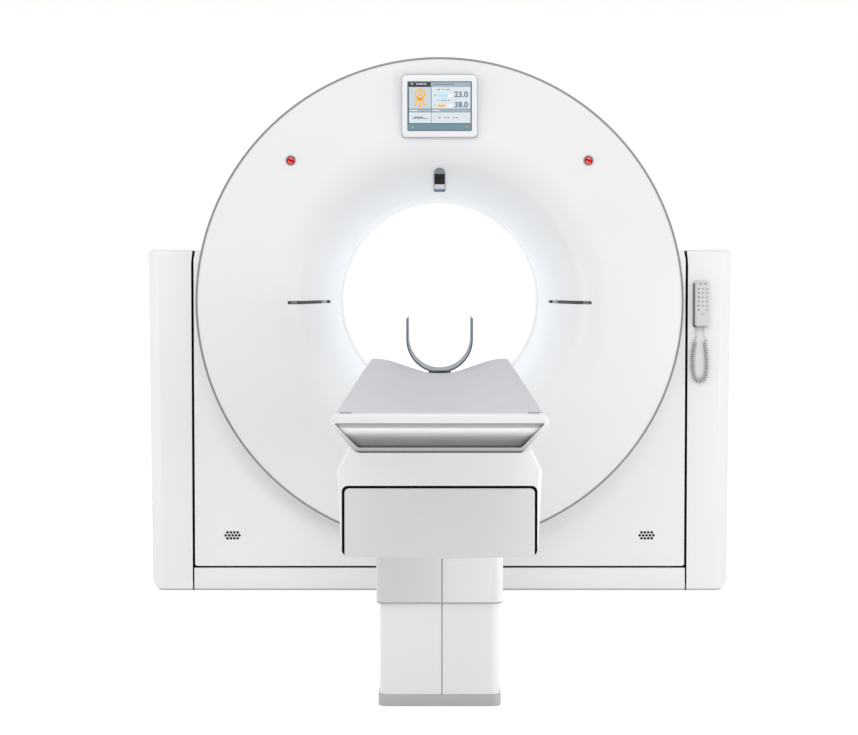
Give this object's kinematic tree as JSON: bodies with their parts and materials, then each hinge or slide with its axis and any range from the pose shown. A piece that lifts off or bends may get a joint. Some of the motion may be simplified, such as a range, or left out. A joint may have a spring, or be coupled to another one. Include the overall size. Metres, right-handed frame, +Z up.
{
  "type": "ct scanner",
  "caption": "Computed tomography scanner: ring-shaped gantry that tilts between side pillars, with a lifting patient table and a sliding cradle that enters the bore.",
  "frame": {"origin": "on the floor under the bore axis, midway along the bore", "axes": "+X to the right as seen from the table, +Y along the bore away from the table, +Z up"},
  "size_m": [2.0138, 3.8801, 1.83],
  "materials": {
    "cover_white": "satin",
    "panel_white": "satin",
    "pillar_white": "satin",
    "bore_white": "satin",
    "trim_silver": "satin",
    "grille_black": "matte",
    "bezel_grey": "satin",
    "screen_glass": "gloss",
    "camera_grey": "satin",
    "lens_dark": "gloss",
    "slot_dark": "gloss",
    "collar_grey": "satin",
    "stop_red": "gloss",
    "frame_paint": "satin",
    "bearing_steel": "satin",
    "drum_aluminium": "satin",
    "tube_paint": "satin",
    "collimator_metal": "satin",
    "unit_paint": "satin",
    "copper_tracks": "satin",
    "carbon_black": "matte",
    "belt_rubber": "matte",
    "motor_paint": "satin",
    "handset_white": "satin",
    "holder_grey": "satin",
    "cord_white": "satin",
    "foot_grey": "satin",
    "sleeve_white": "satin",
    "table_white": "satin",
    "steel_bright": "satin",
    "cradle_white": "satin",
    "inset_grey": "satin",
    "mattress_grey": "satin",
    "holder_tongue": "satin",
    "head_grey": "satin"
  },
  "bodies": {
    "base": {"base_plate": "frame_paint", "stands": "frame_paint", "trunnion_bearings": "bearing_steel", "tilt_gearmotor": "motor_paint", "pillar_covers": "pillar_white", "plinths": "panel_white", "handset_holder": "holder_grey", "handset": "handset_white", "handset_cord": "cord_white", "cord_reliefs": "cord_white", "table_foot_cover": "foot_grey", "lower_sleeves": "sleeve_white", "table_base": "frame_paint", "lift_actuator": "motor_paint"},
    "gantry": {"front_cover": "cover_white", "front_bell": "cover_white", "rear_cover": "cover_white", "rear_bell": "cover_white", "front_rim_trim": "trim_silver", "bore_liner": "bore_white", "housing_wrap": "panel_white", "front_lower_panel": "panel_white", "rear_lower_panel": "panel_white", "speakers": "grille_black", "display_bezel": "bezel_grey", "display_screen": "screen_glass", "sensor_housing": "camera_grey", "sensor_lens": "lens_dark", "laser_windows": "slot_dark", "estop_collars": "collar_grey", "tilt_frame": "frame_paint", "main_bearing_outer": "bearing_steel", "drive_belt": "belt_rubber", "drive_motor": "motor_paint", "brush_block": "carbon_black"},
    "rotor": {"rotor_drum": "drum_aluminium", "main_bearing_inner": "bearing_steel", "x_ray_tube": "tube_paint", "collimator": "collimator_metal", "detector_arc": "unit_paint", "high_voltage_generator": "unit_paint", "tube_cooler": "unit_paint", "slip_ring": "copper_tracks"},
    "pulley": {"drive_pulley": "steel_bright"},
    "estop_left": {"estop_button_left": "stop_red"},
    "estop_right": {"estop_button_right": "stop_red"},
    "table_top": {"upper_sleeve": "sleeve_white", "lift_rod": "steel_bright", "guide_tubes": "frame_paint", "table_shell": "table_white", "table_end_panel": "table_white", "table_frame": "frame_paint", "cradle_rollers": "steel_bright", "cradle_drive": "motor_paint"},
    "cradle": {"cradle": "cradle_white", "cradle_foot_cap": "cradle_white", "cradle_cap_inset": "inset_grey", "mattress": "mattress_grey", "head_holder": "head_grey", "head_holder_tongue": "holder_tongue"}
  },
  "joints": [
    {"name": "gantry_tilt", "type": "hinge", "parent": "base", "child": "gantry", "pos_m": [0, 0, 1], "axis": [-1, 0, 0], "range_deg": [-30, 30]},
    {"name": "rotor_spin", "type": "hinge", "parent": "gantry", "child": "rotor", "pos_m": [0, 0, 1], "axis": [0, 1, 0], "continuous": true},
    {"name": "pulley_spin", "type": "hinge", "parent": "gantry", "child": "pulley", "pos_m": [-0.64, 0, 0.26], "axis": [0, 1, 0], "continuous": true},
    {"name": "estop_left_press", "type": "slide", "parent": "gantry", "child": "estop_left", "axis": [0, 1, 0], "range_m": [0, 0.004], "stiffness_N_per_m": 1500, "springref_m": -0.002},
    {"name": "estop_right_press", "type": "slide", "parent": "gantry", "child": "estop_right", "axis": [0, 1, 0], "range_m": [0, 0.004], "stiffness_N_per_m": 1500, "springref_m": -0.002},
    {"name": "table_lift", "type": "slide", "parent": "base", "child": "table_top", "axis": [0, 0, 1], "range_m": [-0.23, 0.1]},
    {"name": "cradle_travel", "type": "slide", "parent": "table_top", "child": "cradle", "axis": [0, 1, 0], "range_m": [0, 1.7]}
  ],
  "couplings": [
    {"joint": "pulley_spin", "follows": "rotor_spin", "ratio": 12.333}
  ]
}
